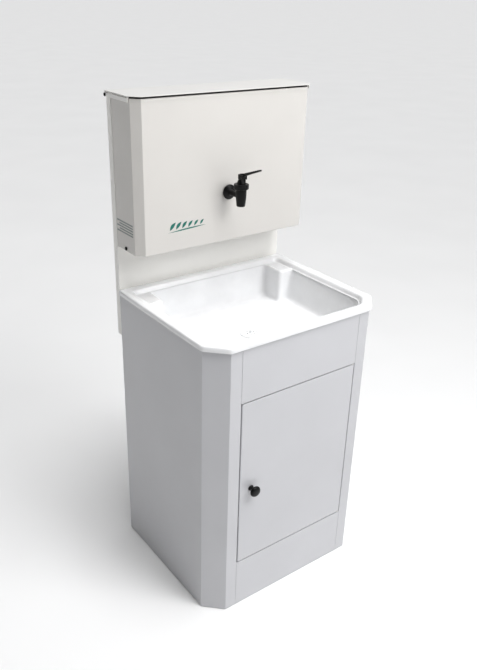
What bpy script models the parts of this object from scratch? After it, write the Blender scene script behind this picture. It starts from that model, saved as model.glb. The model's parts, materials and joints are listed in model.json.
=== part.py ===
"""A free-standing handwash sink: steel cabinet with a door, plastic basin, back panel, water tank and tap.

Metres, +Z up. The user stands on the -Y side. The origin is on the floor under the middle of the object.
"""

import math

import bmesh
import bpy
from mathutils import Matrix, Vector

# Overall sizes.
WIDTH = 0.490
CABINET_DEPTH = 0.404
CABINET_HEIGHT = 0.7315
CABINET_CHAMFER = 0.044
REAR_Y = 0.2235
FLANGE_DEPTH = 0.0184
SHEET = 0.001
GAP = 0.0003

PANEL_Y = REAR_Y - FLANGE_DEPTH
FRONT_Y = PANEL_Y - CABINET_DEPTH
HALF = WIDTH / 2

# Cabinet front.
OPENING_HALF = 0.171
STRIP_RETURN = 0.032
DOOR_BOTTOM = 0.139
DOOR_TOP = 0.586
DOOR_GAP = 0.003
UPPER_RAIL_Z = DOOR_TOP + DOOR_GAP
LOWER_RAIL_Z = DOOR_BOTTOM - DOOR_GAP
DOOR_LEFT = -OPENING_HALF + 0.0032
DOOR_RIGHT = OPENING_HALF - 0.0018
DOOR_DEPTH = 0.015
FOOT_FLANGE = 0.020
REAR_RAIL_TOP = 0.0605
REAR_RAIL_BOTTOM = 0.0015
REAR_RAIL_DEPTH = 0.016
REAR_FLANGE = 0.024
RAIL_RETURN = 0.018
UPPER_RETURN = 0.014

# Door hinge line, close behind the door's right front edge.
HINGE_INSET = 0.0032
HINGE_X = DOOR_RIGHT - HINGE_INSET
HINGE_Y = FRONT_Y + HINGE_INSET
PIN_R = 0.0015
PIN_CLEARANCE = 0.0003

KNOB_X = -0.136
KNOB_Z = 0.350
KNOB_REACH = REAR_Y + FRONT_Y
CATCH_Z = 0.370

# Back panel, and the slots that the tank's hooks hang in.
PANEL_BOTTOM = 0.611
PANEL_TOP = 1.190
WALL_LIP = 0.014
HOOK_X = 0.150
HOOK_HALF = 0.015
HOOK_TOP = 1.140

# Frame screws: places, and the holes' clearance round their shanks.
SCREW_X = HALF - 0.013
SCREW_R = 0.002
PANEL_SCREW_LEVELS = {"low": PANEL_BOTTOM + 0.020, "high": 0.700}
REAR_SCREW_Z = 0.030
RAIL_SCREW_Y = FRONT_Y + 0.008
RAIL_SCREW_R = 0.0015
RAIL_SCREW_LEVELS = {"low": 0.030, "high": 0.652}

# Basin.
RIM_TOP = 0.735
RIM_OVERHANG = 0.005
RIM_WIDTH = 0.024
BASIN_WALL = 0.003
SKIRT_BOTTOM = 0.722
BOWL_CLEAR_Z = 0.600
BOWL_FLOOR = 0.640
DRAIN_Z = 0.6350
DRAIN_Y = -0.003
DRAIN_HOLE_R = 0.0175
DRAIN_TAIL_BOTTOM = 0.560
LEDGE_Z = 0.7250
LEDGE_FRONT_Y = 0.108
LEDGE_INNER_X = 0.180
RING_STEPS = 4

# Tank.
TANK_FRONT_Y = 0.1007
TANK_BOTTOM = 0.846
TANK_TOP = 1.190
TANK_CHAMFER = 0.0178
TANK_REAR_Y = PANEL_Y - 0.0022
HEM_HEIGHT = 0.007
HEM_RISE = 0.0006
PLUG_Y = 0.159
PLUG_Z = 0.8525

# Lid.
LID_UNDER = 1.1945
LID_HALF = 0.250
LID_FRONT_Y = TANK_FRONT_Y - 0.003
LID_LIP_BOTTOM = 1.1825
LIP_INSET = 0.0030
LIP_STEP_Z = 1.1920
LID_PIVOT_Y = REAR_Y - 0.005
LID_PIVOT_Z = 1.1865

# Tap, on a vertical axis in front of the tank.
TAP_Y = TANK_FRONT_Y - 0.050
TAP_PORT_Z = 0.966
SPOUT_BOTTOM = 0.943
SEAT_Z = 0.9555
BARREL_TOP = 0.990
COLLAR_TOP = 0.9955
BONNET_TOP = 1.0070
LEVER_PIVOT_Y = TAP_Y - 0.006
LEVER_PIVOT_Z = BONNET_TOP + 0.0035
LEVER_RISE = math.radians(20.5)
LEVER_LENGTH = 0.0633
LEVER_HOOD_HALF = 0.0068
EAR_R = 0.0029
STEM_R = 0.0016


SIDES = (("left", -1), ("right", 1))
TURNS = {
    "Z": Matrix.Identity(4),
    "X": Matrix.Rotation(math.pi / 2, 4, "Y"),
    "-X": Matrix.Rotation(-math.pi / 2, 4, "Y"),
    "Y": Matrix.Rotation(-math.pi / 2, 4, "X"),
}


def clear_scene():
    for obj in list(bpy.data.objects):
        bpy.data.objects.remove(obj, do_unlink=True)


def material(name, color, roughness, metallic=0.0):
    made = bpy.data.materials.new(name)
    made.use_nodes = True
    shader = made.node_tree.nodes["Principled BSDF"]
    shader.inputs["Base Color"].default_value = (*color, 1.0)
    shader.inputs["Roughness"].default_value = roughness
    shader.inputs["Metallic"].default_value = metallic
    return made


def add(name, bm, look):
    """Turns a bmesh into a named object with outward faces."""
    bmesh.ops.remove_doubles(bm, verts=bm.verts, dist=1e-6)
    bmesh.ops.recalc_face_normals(bm, faces=bm.faces)
    mesh = bpy.data.meshes.new(name)
    bm.to_mesh(mesh)
    bm.free()
    mesh.shade_smooth()
    mesh.set_sharp_from_angle(angle=math.radians(35))
    obj = bpy.data.objects.new(name, mesh)
    mesh.materials.append(look)
    bpy.context.scene.collection.objects.link(obj)
    return obj


def helper(bm, tag):
    """A shape that only cuts or joins another one."""
    obj = add(tag, bm, LOOKS["white_steel"])
    obj.hide_render = True
    obj.display_type = "WIRE"
    return obj


def combine(obj, bm, operation, tag):
    """Cuts a shape from an object, or joins the shape to it."""
    modifier = obj.modifiers.new(tag, "BOOLEAN")
    modifier.operation = operation
    modifier.solver = "EXACT"
    modifier.object = helper(bm, f"{obj.name}_{tag}")
    return obj


def cut(obj, bm, tag):
    return combine(obj, bm, "DIFFERENCE", tag)


def join(obj, bm, tag):
    return combine(obj, bm, "UNION", tag)


def box(low, high):
    bm = bmesh.new()
    size = Vector(high) - Vector(low)
    middle = (Vector(high) + Vector(low)) / 2
    bmesh.ops.create_cube(bm, size=1.0)
    bmesh.ops.scale(bm, vec=size, verts=bm.verts)
    bmesh.ops.translate(bm, vec=middle, verts=bm.verts)
    return bm


def prism(outline, low, high):
    """A plan outline (x, y) raised from one height to another."""
    bm = bmesh.new()
    face = bm.faces.new([bm.verts.new((x, y, low)) for x, y in outline])
    raised = bmesh.ops.extrude_face_region(bm, geom=[face])["geom"]
    tops = [item for item in raised if isinstance(item, bmesh.types.BMVert)]
    bmesh.ops.translate(bm, vec=(0, 0, high - low), verts=tops)
    return bm


def side_prism(outline, low_x, high_x):
    """A side outline (y, z) carried across from one x to another."""
    bm = prism(outline, low_x, high_x)
    bm.transform(Matrix(((0, 0, 1, 0), (1, 0, 0, 0), (0, 1, 0, 0), (0, 0, 0, 1))))
    return bm


def lengthwise(outline, low_y, high_y):
    """A front outline (x, z) carried back from one y to another."""
    bm = prism(outline, low_y, high_y)
    bm.transform(Matrix(((1, 0, 0, 0), (0, 0, 1, 0), (0, 1, 0, 0), (0, 0, 0, 1))))
    bmesh.ops.reverse_faces(bm, faces=bm.faces)
    return bm


def ring_points(radius, count, phase=0.0):
    turns = [phase + math.tau * k / count for k in range(count)]
    return [(radius * math.cos(turn), radius * math.sin(turn)) for turn in turns]


def turned(profile, count=24, at=(0, 0, 0), along="Z", phase=0.0):
    """A profile of (radius, height) turned about an axis. Points at radius 0 close it, or it is a ring."""
    bm = bmesh.new()
    loops = []
    for radius, height in profile:
        if radius < 1e-7:
            loops.append([bm.verts.new((0, 0, height))])
        else:
            loops.append([bm.verts.new((x, y, height)) for x, y in ring_points(radius, count, phase)])
    closed = all(len(loop) > 1 for loop in loops)
    pairs = list(zip(loops, loops[1:]))
    if closed:
        pairs.append((loops[-1], loops[0]))
    for lower, upper in pairs:
        for k in range(count):
            after = (k + 1) % count
            corners = [lower[k % len(lower)], lower[after % len(lower)]]
            corners += [upper[after % len(upper)], upper[k % len(upper)]]
            unique = list(dict.fromkeys(corners))
            if len(unique) > 2:
                bm.faces.new(unique)
    bm.transform(Matrix.Translation(at) @ TURNS[along])
    return bm


def rod(radius, low, high, count=24, at=(0, 0, 0), along="Z", phase=0.0):
    return turned([(0, low), (radius, low), (radius, high), (0, high)], count, at, along, phase)


def tube(outer, inner, low, high, count=24, at=(0, 0, 0), along="Z"):
    return turned([(inner, low), (outer, low), (outer, high), (inner, high)], count, at, along)


def pan_screw(name, at, along, reach, radius=0.002):
    """A pan-head screw with a cross slot. Its head's underside is at 0 and its point is at -reach."""
    head = 2.0 * radius
    profile = [(0, -reach), (radius * 0.4, -reach), (radius, -reach + 1.2 * radius), (radius, 0)]
    profile += [(head, 0), (head, 0.6 * radius), (0.72 * head, 1.15 * radius), (0, 1.3 * radius)]
    screw = add(name, turned(profile, 12, at, along), LOOKS["zinc"])
    slot = 0.22 * radius
    arm = 1.1 * radius
    top = 1.5 * radius
    floor = 0.6 * radius
    for tag, low, high in (
        ("slot_a", (-arm, -slot, floor), (arm, slot, top)),
        ("slot_b", (-slot, -arm, floor), (slot, arm, top)),
    ):
        cutter = box(low, high)
        cutter.transform(Matrix.Translation(at) @ TURNS[along])
        cut(screw, cutter, tag)
    return screw


def sheet_outline(path, side):
    """The closed outline of a bent sheet: a path and its copy one sheet thickness to one side, mitred."""
    shifted = []
    for k, point in enumerate(path):
        here = Vector(point)
        before = (here - Vector(path[k - 1])).normalized() if k else None
        after = (Vector(path[k + 1]) - here).normalized() if k + 1 < len(path) else None
        first = before or after
        second = after or before
        normals = [Vector((-way.y, way.x)) * side for way in (first, second)]
        middle = (normals[0] + normals[1]).normalized()
        shifted.append(here + middle * (SHEET / middle.dot(normals[0])))
    return [tuple(point) for point in path] + [tuple(point) for point in reversed(shifted)]


def mirrored(outline, sign):
    return [(sign * x, y) for x, y in outline]


def side_panel(name, sign):
    """One bent sheet: rear flange, side, chamfer, front strip and the return beside the door."""
    rear = PANEL_Y - GAP
    path = [
        (HALF - REAR_FLANGE, rear),
        (HALF, rear),
        (HALF, FRONT_Y + CABINET_CHAMFER),
        (HALF - CABINET_CHAMFER, FRONT_Y),
        (OPENING_HALF, FRONT_Y),
        (OPENING_HALF, FRONT_Y + STRIP_RETURN),
    ]
    outline = mirrored(sheet_outline(path, -1), sign)
    panel = add(name, prism(outline, 0, CABINET_HEIGHT), LOOKS["white_steel"])
    inner = HALF - FOOT_FLANGE
    foot = [
        (HALF - 0.0005, rear - 0.0005),
        (HALF - 0.0005, FRONT_Y + CABINET_CHAMFER),
        (HALF - CABINET_CHAMFER, FRONT_Y + 0.0005),
        (OPENING_HALF + 0.0005, FRONT_Y + 0.0005),
        (OPENING_HALF + 0.0005, FRONT_Y + FOOT_FLANGE),
        (HALF - CABINET_CHAMFER, FRONT_Y + FOOT_FLANGE),
        (inner, FRONT_Y + CABINET_CHAMFER + 0.010),
        (inner, rear - 0.0005),
    ]
    join(panel, prism(mirrored(foot, sign), 0, SHEET), "foot")
    for tag, height in {**PANEL_SCREW_LEVELS, "rear_rail": REAR_SCREW_Z}.items():
        hole = rod(SCREW_R + GAP, -0.010, 0.010, 12, (sign * SCREW_X, rear, height), "Y")
        cut(panel, hole, f"screw_{tag}")
    for tag, height in RAIL_SCREW_LEVELS.items():
        place = (sign * OPENING_HALF, RAIL_SCREW_Y, height)
        hole = rod(RAIL_SCREW_R + GAP, -0.010, 0.010, 12, place, "X")
        cut(panel, hole, f"rail_{tag}")
    sides = sorted((sign * (HALF - REAR_FLANGE - 0.005), sign * (HALF + 0.005)))
    notch = box(
        (sides[0], rear - 0.004, SKIRT_BOTTOM - 0.001),
        (sides[1], rear + 0.005, CABINET_HEIGHT + 0.01),
    )
    cut(panel, notch, "rim_notch")
    ends = sorted((sign * (OPENING_HALF - 0.002), sign * (OPENING_HALF + 0.003)))
    step = box(
        (ends[0], FRONT_Y + UPPER_RETURN, BOWL_CLEAR_Z),
        (ends[1], FRONT_Y + 0.05, CABINET_HEIGHT + 0.01),
    )
    cut(panel, step, "bowl_step")
    return panel


def front_rail(level, low, high, pin_z, depth, screw_z):
    """A shallow tray between the side panels' front strips: face, top and bottom returns, and end tabs."""
    half = OPENING_HALF - GAP
    back = FRONT_Y + depth
    tray = box((-half, FRONT_Y, low), (half, back, high))
    rail = add(f"{level}_front_rail", tray, LOOKS["white_steel"])
    inside = box((-half + SHEET, FRONT_Y + SHEET, low + SHEET), (half - SHEET, back + 0.01, high - SHEET))
    cut(rail, inside, "inside")
    cut(rail, rod(PIN_R + PIN_CLEARANCE, -0.005, 0.005, 16, (HINGE_X, HINGE_Y, pin_z)), "pin_hole")
    for side, sign in SIDES:
        hole = rod(RAIL_SCREW_R + GAP, -0.006, 0.006, 12, (sign * half, RAIL_SCREW_Y, screw_z), "X")
        cut(rail, hole, f"screw_{side}")
        head = (sign * (half - SHEET - GAP), RAIL_SCREW_Y, screw_z)
        along = "-X" if sign > 0 else "X"
        pan_screw(f"{level}_rail_screw_{side}", head, along, 0.008, RAIL_SCREW_R)
    return rail


def rear_rail():
    """A channel across the foot of the open back."""
    face = PANEL_Y - GAP - SHEET - GAP
    half = HALF - SHEET - 0.001
    lip = face - REAR_RAIL_DEPTH
    path = [(lip, REAR_RAIL_TOP), (face, REAR_RAIL_TOP), (face, REAR_RAIL_BOTTOM), (lip, REAR_RAIL_BOTTOM)]
    rail = add("rear_bottom_rail", side_prism(sheet_outline(path, -1), -half, half), LOOKS["white_steel"])
    for side, sign in SIDES:
        hole = rod(SCREW_R + GAP, -0.006, 0.006, 12, (sign * SCREW_X, face, REAR_SCREW_Z), "Y")
        cut(rail, hole, f"screw_{side}")
    return rail


def back_panel():
    """One bent sheet that stands behind the basin and carries the tank: face, side flanges, wall lips."""
    right = [(HALF - WALL_LIP, REAR_Y), (HALF, REAR_Y), (HALF, PANEL_Y)]
    path = right + [(-x, y) for x, y in reversed(right)]
    panel = add("back_panel", prism(sheet_outline(path, -1), PANEL_BOTTOM, PANEL_TOP), LOOKS["white_steel"])
    for tag, sign in SIDES:
        for level, height in PANEL_SCREW_LEVELS.items():
            hole = rod(SCREW_R + GAP, -0.005, 0.005, 12, (sign * SCREW_X, PANEL_Y, height), "Y")
            cut(panel, hole, f"screw_{tag}_{level}")
        pivot = (sign * HALF, LID_PIVOT_Y, LID_PIVOT_Z)
        cut(panel, rod(PIN_R + GAP, -0.006, 0.006, 16, pivot, "X"), f"pin_{tag}")
        low = (sign * HOOK_X - HOOK_HALF - 0.001, PANEL_Y - 0.004, HOOK_TOP - 0.014)
        high = (sign * HOOK_X + HOOK_HALF + 0.001, PANEL_Y + 0.004, HOOK_TOP + 0.002)
        cut(panel, box(low, high), f"hook_{tag}")
    return panel


def tank_hook(name, sign):
    """A Z-shaped strap: flat on the tank's back, through a slot in the panel and down behind it."""
    near = TANK_REAR_Y + GAP
    behind = PANEL_Y + SHEET + GAP
    outline = [
        (near, HOOK_TOP - 0.040),
        (near + 0.0012, HOOK_TOP - 0.040),
        (near + 0.0012, HOOK_TOP - 0.0018),
        (behind, HOOK_TOP - 0.0018),
        (behind, HOOK_TOP - 0.026),
        (behind + 0.0015, HOOK_TOP - 0.026),
        (behind + 0.0015, HOOK_TOP),
        (near, HOOK_TOP),
    ]
    middle = sign * HOOK_X
    return add(name, side_prism(outline, middle - HOOK_HALF, middle + HOOK_HALF), LOOKS["zinc"])


def corner_loop(corners, height):
    """A closed loop of points: each corner (x, y, reach) is rounded by a curve that starts at its reach."""
    points = []
    count = len(corners)
    for k, (x, y, reach) in enumerate(corners):
        here = Vector((x, y))
        before = Vector(corners[k - 1][:2])
        after = Vector(corners[(k + 1) % count][:2])
        start = here + (before - here).normalized() * reach
        end = here + (after - here).normalized() * reach
        for step in range(RING_STEPS + 1):
            t = step / RING_STEPS
            point = start * (1 - t) ** 2 + here * (2 * t * (1 - t)) + end * t**2
            points.append((point.x, point.y, height))
    return points


def basin_corners(half, front, rear, chamfer, soft, ledge=None):
    """The basin's plan at one height. With a ledge (inner x, front y), both rear corners are stepped in."""
    if ledge:
        inner_x, ledge_y = ledge
        rear_right = [(half, ledge_y, soft), (inner_x, ledge_y, 0.010), (inner_x, rear, soft)]
    else:
        small = min(soft, 0.006)
        rear_right = [
            (half, LEDGE_FRONT_Y + 0.002, small),
            (half, rear, soft),
            (LEDGE_INNER_X + 0.002, rear, small),
        ]
    right = [(half - chamfer, front, soft), (half, front + chamfer, soft)] + rear_right
    return right + [(-x, y, reach) for x, y, reach in reversed(right)]


def circle_loop(count, radius, height):
    """A circle round the drain, its points evenly spaced and starting on the same side as a plan loop's."""
    step = math.tau / count
    turns = [-math.pi / 2 + step * (k + 0.5) for k in range(count)]
    return [(radius * math.cos(t), DRAIN_Y + radius * math.sin(t), height) for t in turns]


def basin():
    """A moulded shell: rolled rim, bowl with a soap ledge in each rear corner, floor with a drain hole."""
    outer_half = HALF + RIM_OVERHANG
    outer_front = FRONT_Y - RIM_OVERHANG
    outer_rear = PANEL_Y - 0.0005
    chamfer = CABINET_CHAMFER + 0.002
    wall = BASIN_WALL

    def rim(inset, height, soft=0.004):
        edge = chamfer - 0.586 * inset
        return corner_loop(
            basin_corners(outer_half - inset, outer_front + inset, outer_rear - inset, edge, soft), height
        )

    def bowl(inset, height, soft=0.012, ledge=None):
        half = outer_half - RIM_WIDTH - inset
        front = outer_front + RIM_WIDTH + inset
        rear = outer_rear - RIM_WIDTH - inset
        edge = chamfer - 0.014 - 0.4 * inset
        return corner_loop(basin_corners(half, front, rear, edge, soft, ledge), height)

    def stepped(inset, height, grow=0.0, draft=0.0):
        ledge = (LEDGE_INNER_X - draft + grow, LEDGE_FRONT_Y - draft + grow)
        return bowl(inset - grow, height, 0.012, ledge)

    floor_edge = stepped(0.030, BOWL_FLOOR, 0.0, 0.012)
    count = len(floor_edge)
    loops = [
        circle_loop(count, DRAIN_HOLE_R, DRAIN_Z),
        circle_loop(count, 0.0270, DRAIN_Z),
        circle_loop(count, 0.0285, DRAIN_Z + 0.0016),
        circle_loop(count, 0.0600, DRAIN_Z + 0.0022),
        floor_edge,
        stepped(0.021, BOWL_FLOOR + 0.0035, 0.0, 0.008),
        stepped(0.017, BOWL_FLOOR + 0.0120, 0.0, 0.006),
        stepped(0.005, LEDGE_Z - 0.0040, 0.0, 0.001),
        stepped(0.0035, LEDGE_Z - 0.0008, 0.0, -0.001),
        stepped(0.0030, LEDGE_Z, 0.0, -0.004),
        bowl(0.0080, LEDGE_Z - 0.0020, 0.012),
        bowl(0.0050, LEDGE_Z - 0.0010, 0.013),
        bowl(0.0030, LEDGE_Z + 0.0030, 0.014),
        bowl(0.0005, RIM_TOP - 0.0020, 0.016),
        bowl(-0.0030, RIM_TOP, 0.018),
        rim(0.0040, RIM_TOP, 0.008),
        rim(0.0012, RIM_TOP - 0.0012, 0.008),
        rim(0.0, RIM_TOP - 0.0045, 0.008),
        rim(0.0, SKIRT_BOTTOM, 0.008),
        rim(0.0025, SKIRT_BOTTOM, 0.007),
        rim(0.0025, RIM_TOP - wall, 0.007),
        bowl(-wall, RIM_TOP - wall, 0.018),
        bowl(0.0030 - wall, LEDGE_Z - wall, 0.016),
        stepped(0.0030, LEDGE_Z - wall - 0.001, wall, -0.004),
        stepped(0.0050, LEDGE_Z - wall - 0.006, wall, 0.001),
        stepped(0.0170, BOWL_FLOOR + 0.0120 - wall, wall, 0.006),
        stepped(0.0230, BOWL_FLOOR - wall, wall, 0.010),
        circle_loop(count, 0.0600, DRAIN_Z + 0.0022 - wall),
        circle_loop(count, 0.0285, DRAIN_Z - wall),
        circle_loop(count, DRAIN_HOLE_R, DRAIN_Z - wall),
    ]
    bm = bmesh.new()
    rings = [[bm.verts.new(point) for point in loop] for loop in loops]
    for lower, upper in zip(rings, rings[1:] + rings[:1]):
        for k in range(count):
            after = (k + 1) % count
            bm.faces.new((lower[k], lower[after], upper[after], upper[k]))
    return add("basin", bm, LOOKS["gloss_white"])


def drain():
    """Waste fitting: flanged tail with a cross bar, grate, centre screw, seal and nut."""
    at = (0, DRAIN_Y, 0)
    top = DRAIN_Z + 0.0024
    under = DRAIN_Z - BASIN_WALL
    profile = [
        (0.0140, DRAIN_TAIL_BOTTOM),
        (0.0160, DRAIN_TAIL_BOTTOM),
        (0.0165, DRAIN_TAIL_BOTTOM + 0.002),
        (0.0165, DRAIN_Z + GAP),
        (0.0255, DRAIN_Z + GAP),
        (0.0262, DRAIN_Z + 0.0012),
        (0.0250, top),
        (0.0175, top),
        (0.0168, DRAIN_Z + 0.0004),
        (0.0140, DRAIN_Z - 0.0010),
    ]
    body = add("drain_body", turned(profile, 32, at), LOOKS["gloss_white"])
    bar_low = DRAIN_Z - 0.012
    bar = box((-0.0145, DRAIN_Y - 0.0035, bar_low), (0.0145, DRAIN_Y + 0.0035, bar_low + 0.005))
    join(body, bar, "bar")
    cut(body, rod(0.0018, bar_low - 0.01, bar_low + 0.02, 16, at), "screw_hole")
    dish = [
        (0.0022, top - 0.0022),
        (0.0162, top - 0.0016),
        (0.0166, top - 0.0006),
        (0.0160, top),
        (0.0022, top + 0.0008),
    ]
    grate = add("strainer_grate", turned(dish, 32, at), LOOKS["gloss_white"])
    for k, (x, y) in enumerate(ring_points(0.0098, 6)):
        cut(grate, rod(0.0023, top - 0.01, top + 0.01, 10, (x, DRAIN_Y + y, 0)), f"hole_{k}")
    pan_screw("strainer_screw", (0, DRAIN_Y, top + 0.0008 + GAP), "Z", 0.022, 0.0016)
    add("drain_gasket", tube(0.0245, 0.0168, under - 0.0023, under - GAP, 32, at), LOOKS["rubber"])
    ring = tube(0.0260, 0.0168, under - 0.0120, under - 0.0026, 32, at)
    nut = add("drain_nut", ring, LOOKS["gloss_white"])
    for k, (x, y) in enumerate(ring_points(0.0290, 8, 0.05)):
        cut(nut, rod(0.0050, under - 0.02, under + 0.01, 8, (x, DRAIN_Y + y, 0)), f"grip_{k}")


def door():
    """A shallow pan that turns on two pins close behind its right front edge, with its knob and strike."""
    low = (DOOR_LEFT, FRONT_Y, DOOR_BOTTOM)
    high = (DOOR_RIGHT, FRONT_Y + DOOR_DEPTH, DOOR_TOP)
    panel = add("door_panel", box(low, high), LOOKS["white_steel"])
    inside = box(
        (DOOR_LEFT + SHEET, FRONT_Y + SHEET, DOOR_BOTTOM + SHEET),
        (DOOR_RIGHT - SHEET, FRONT_Y + DOOR_DEPTH + 0.01, DOOR_TOP - SHEET),
    )
    cut(panel, inside, "pan")
    for tag, height in (("top", DOOR_TOP), ("bottom", DOOR_BOTTOM)):
        hole = rod(PIN_R + PIN_CLEARANCE, -0.003, 0.003, 16, (HINGE_X, HINGE_Y, height))
        cut(panel, hole, f"pin_{tag}")
    cut(panel, rod(0.0023, -0.004, 0.004, 16, (KNOB_X, FRONT_Y, KNOB_Z), "Y"), "knob_hole")

    base = -GAP
    profile = [
        (0, base), (0.0075, base), (0.0075, -0.0020), (0.0062, -0.0035), (0.0060, -0.0085),
        (0.0075, -0.0120), (0.0118, -0.0140), (0.0136, -0.0165), (0.0136, -0.0190), (0.0120, -0.0220),
        (0.0080, -KNOB_REACH + 0.0008), (0, -KNOB_REACH),
    ]
    knob = add("door_knob", turned(profile, 20, (KNOB_X, FRONT_Y, KNOB_Z), "Y"), LOOKS["black_plastic"])
    cut(knob, rod(0.0023, -0.0135, 0.004, 16, (KNOB_X, FRONT_Y, KNOB_Z), "Y"), "bore")
    pan_screw("knob_screw", (KNOB_X, FRONT_Y + SHEET + GAP, KNOB_Z), "Y", 0.0120, 0.0020)

    inner = DOOR_LEFT + SHEET + GAP
    strike = [
        (inner, FRONT_Y + 0.0045),
        (inner + 0.0012, FRONT_Y + 0.0045),
        (inner + 0.0012, FRONT_Y + 0.0136),
        (inner + 0.0180, FRONT_Y + 0.0136),
        (inner + 0.0180, FRONT_Y + 0.0148),
        (inner, FRONT_Y + 0.0148),
    ]
    add("strike_plate", prism(strike, CATCH_Z - 0.018, CATCH_Z + 0.018), LOOKS["zinc"])


def door_pins():
    """The two fixed pins, riveted in the rails, and a nylon washer on each."""
    above = UPPER_RAIL_Z + SHEET
    below = LOWER_RAIL_Z - SHEET
    at = (HINGE_X, HINGE_Y, 0)
    head = 0.0021
    top = [
        (0, DOOR_TOP - 0.010), (PIN_R * 0.7, DOOR_TOP - 0.010), (PIN_R, DOOR_TOP - 0.009),
        (PIN_R, above + GAP), (head, above + GAP), (head, above + 0.0013), (0, above + 0.0018),
    ]
    add("door_pin_top", turned(top, 16, at), LOOKS["zinc"])
    bottom = [
        (0, below - 0.0018), (head, below - 0.0013), (head, below - GAP), (PIN_R, below - GAP),
        (PIN_R, DOOR_BOTTOM + 0.009), (PIN_R * 0.7, DOOR_BOTTOM + 0.010), (0, DOOR_BOTTOM + 0.010),
    ]
    add("door_pin_bottom", turned(bottom, 16, at), LOOKS["zinc"])
    levels = {"top": (DOOR_TOP, UPPER_RAIL_Z), "bottom": (LOWER_RAIL_Z, DOOR_BOTTOM)}
    for tag, (low, high) in levels.items():
        ring = tube(0.0030, PIN_R + PIN_CLEARANCE, low + GAP, high - GAP, 20, at)
        add(f"door_washer_{tag}", ring, LOOKS["nylon"])


def magnet_catch():
    """A magnetic catch on the left strip's return, behind the door's strike plate."""
    face_x = -OPENING_HALF + GAP
    low = (face_x, FRONT_Y + 0.0154, CATCH_Z - 0.022)
    high = (face_x + 0.013, FRONT_Y + 0.0290, CATCH_Z + 0.022)
    catch = add("magnet_catch", box(low, high), LOOKS["nylon"])
    edge = catch.modifiers.new("rounding", "BEVEL")
    edge.width = 0.001
    edge.segments = 1
    for name, side in (("upper", 1), ("lower", -1)):
        height = CATCH_Z + side * 0.0155
        cut(catch, rod(0.0013, -0.02, 0.02, 12, (face_x, FRONT_Y + 0.0235, height), "X"), f"hole_{name}")
        head = (face_x + 0.013 + GAP, FRONT_Y + 0.0235, height)
        pan_screw(f"catch_screw_{name}", head, "X", 0.0128, 0.0010)


def rear_screws():
    """Screws through the back panel and the rear rail's ends into the side panels' rear flanges."""
    behind = PANEL_Y + SHEET + GAP
    for side, sign in SIDES:
        for level, height in PANEL_SCREW_LEVELS.items():
            pan_screw(f"panel_screw_{side}_{level}", (sign * SCREW_X, behind, height), "Y", 0.009)
        pan_screw(f"rear_rail_screw_{side}", (sign * SCREW_X, PANEL_Y, REAR_SCREW_Z), "Y", 0.009)


def tank_outline(grow=0.0, rear=TANK_REAR_Y):
    """The tank's plan outline with chamfered front corners."""
    half = HALF + grow
    front = TANK_FRONT_Y - grow
    edge = TANK_CHAMFER + 0.586 * grow
    right = [(half - edge, front), (half, front + edge), (half, rear)]
    return right + [(-x, y) for x, y in reversed(right)]


def tank():
    """A welded box of sheet, open at the top: a hem round its mouth, a tap hole and a side plug."""
    shell = add("tank_shell", prism(tank_outline(), TANK_BOTTOM, TANK_TOP), LOOKS["white_steel"])
    hem = prism(tank_outline(HEM_RISE, TANK_REAR_Y), TANK_TOP - HEM_HEIGHT, TANK_TOP)
    join(shell, hem, "hem")
    inside = prism(tank_outline(-SHEET, TANK_REAR_Y - SHEET), TANK_BOTTOM + SHEET, TANK_TOP + 0.01)
    cut(shell, inside, "inside")
    cut(shell, rod(0.0068, -0.006, 0.006, 24, (0, TANK_FRONT_Y, TAP_PORT_Z), "Y"), "tap_hole")
    plug_at = (-HALF, PLUG_Y, PLUG_Z)
    cut(shell, rod(0.0023, -0.006, 0.006, 16, plug_at, "X"), "plug_hole")
    plug = [
        (0, -0.0035), (0.0040, -0.0030), (0.0045, -0.0015), (0.0045, -GAP), (0.0020, -GAP),
        (0.0020, 0.0050), (0, 0.0060),
    ]
    add("tank_side_plug", turned(plug, 20, plug_at, "X"), LOOKS["black_plastic"])
    tank_hook("tank_hook_left", -1)
    tank_hook("tank_hook_right", 1)


def lid():
    """A flat sheet over the tank and the panel's top. The stepped lip down each side turns on a pin."""
    rear = REAR_Y - 0.0005
    edge = TANK_CHAMFER + 0.003
    right = [(LID_HALF - edge, LID_FRONT_Y), (LID_HALF, LID_FRONT_Y + edge), (LID_HALF, rear)]
    outline = right + [(-x, y) for x, y in reversed(right)]
    sheet = add("tank_lid", prism(outline, LID_UNDER, LID_UNDER + SHEET), LOOKS["white_steel"])
    for tag, sign in SIDES:
        neck_x = LID_HALF - LIP_INSET
        path = [
            (neck_x, LID_UNDER + 0.0005),
            (neck_x, LIP_STEP_Z),
            (LID_HALF, LIP_STEP_Z - 0.0012),
            (LID_HALF, LID_LIP_BOTTOM),
        ]
        section = mirrored(sheet_outline(path, -1), sign)
        join(sheet, lengthwise(section, LID_FRONT_Y + edge, rear), f"lip_{tag}")
        pivot = (sign * LID_HALF, LID_PIVOT_Y, LID_PIVOT_Z)
        cut(sheet, rod(PIN_R + PIN_CLEARANCE, -0.004, 0.004, 16, pivot, "X"), f"pin_{tag}")
        pin = [
            (0, -0.0095), (0.0012, -0.0095), (PIN_R, -0.0090), (PIN_R, GAP), (0.0038, GAP),
            (0.0038, 0.0014), (0.0026, 0.0022), (0, 0.0024),
        ]
        profile = [(radius, sign * reach) for radius, reach in pin]
        add(f"lid_pin_{tag}", turned(profile, 18, pivot, "X"), LOOKS["black_plastic"])


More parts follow.
